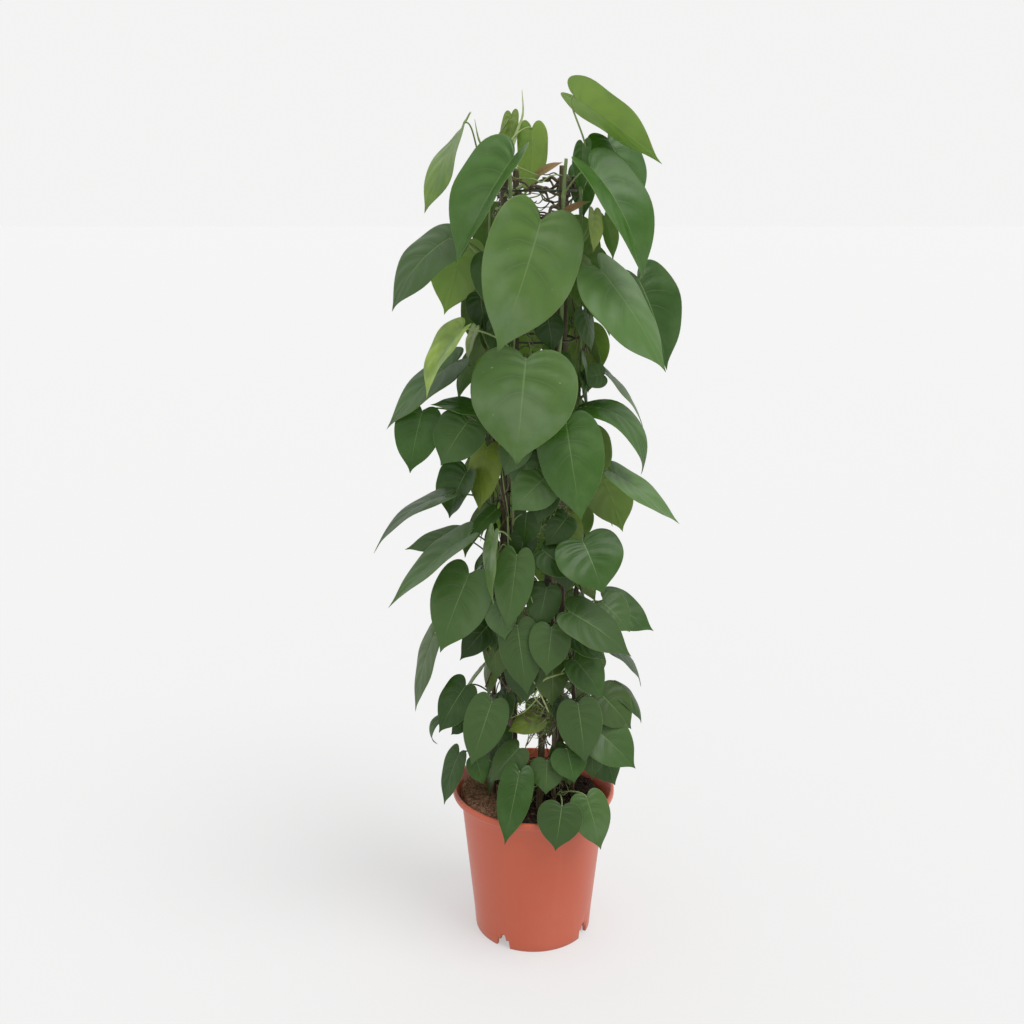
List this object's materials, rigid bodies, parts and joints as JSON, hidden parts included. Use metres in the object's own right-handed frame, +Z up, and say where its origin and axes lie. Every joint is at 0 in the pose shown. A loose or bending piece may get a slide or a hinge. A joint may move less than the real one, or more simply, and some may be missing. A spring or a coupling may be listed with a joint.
{
  "type": "potted heartleaf philodendron",
  "caption": "Tall climbing house plant with heart-shaped leaves, trained up bamboo canes with wire hoops in a tapered plastic pot.",
  "frame": {"origin": "the pot's axis, at the underside of the middle pad of its floor, level with the floor the pot stands on", "axes": "+Z up along the pot's axis and the canes, -Y towards the side that the picture shows, +X to the right in it"},
  "size_m": [0.4184, 0.2762, 1.2189],
  "materials": {
    "terracotta_plastic": "satin terracotta-coloured moulded plastic",
    "compost": "loose dark potting compost with coir",
    "bamboo": "dry bamboo cane",
    "coated_wire": "dark coated wire",
    "foliage": "satin living leaf"
  },
  "bodies": {
    "root": {"pot": "terracotta_plastic", "soil": "compost", "cane_1": "bamboo", "cane_2": "bamboo", "cane_3": "bamboo", "cane_4": "bamboo", "hoop_1": "coated_wire", "hoop_2": "coated_wire", "hoop_3": "coated_wire", "hoop_4": "coated_wire", "hoop_5": "coated_wire", "vine_frontLeft": "foliage", "vine_frontRight": "foliage", "vine_left": "foliage", "vine_right": "foliage", "vine_rearLeft": "foliage", "vine_rearRight": "foliage"}
  },
  "joints": []
}
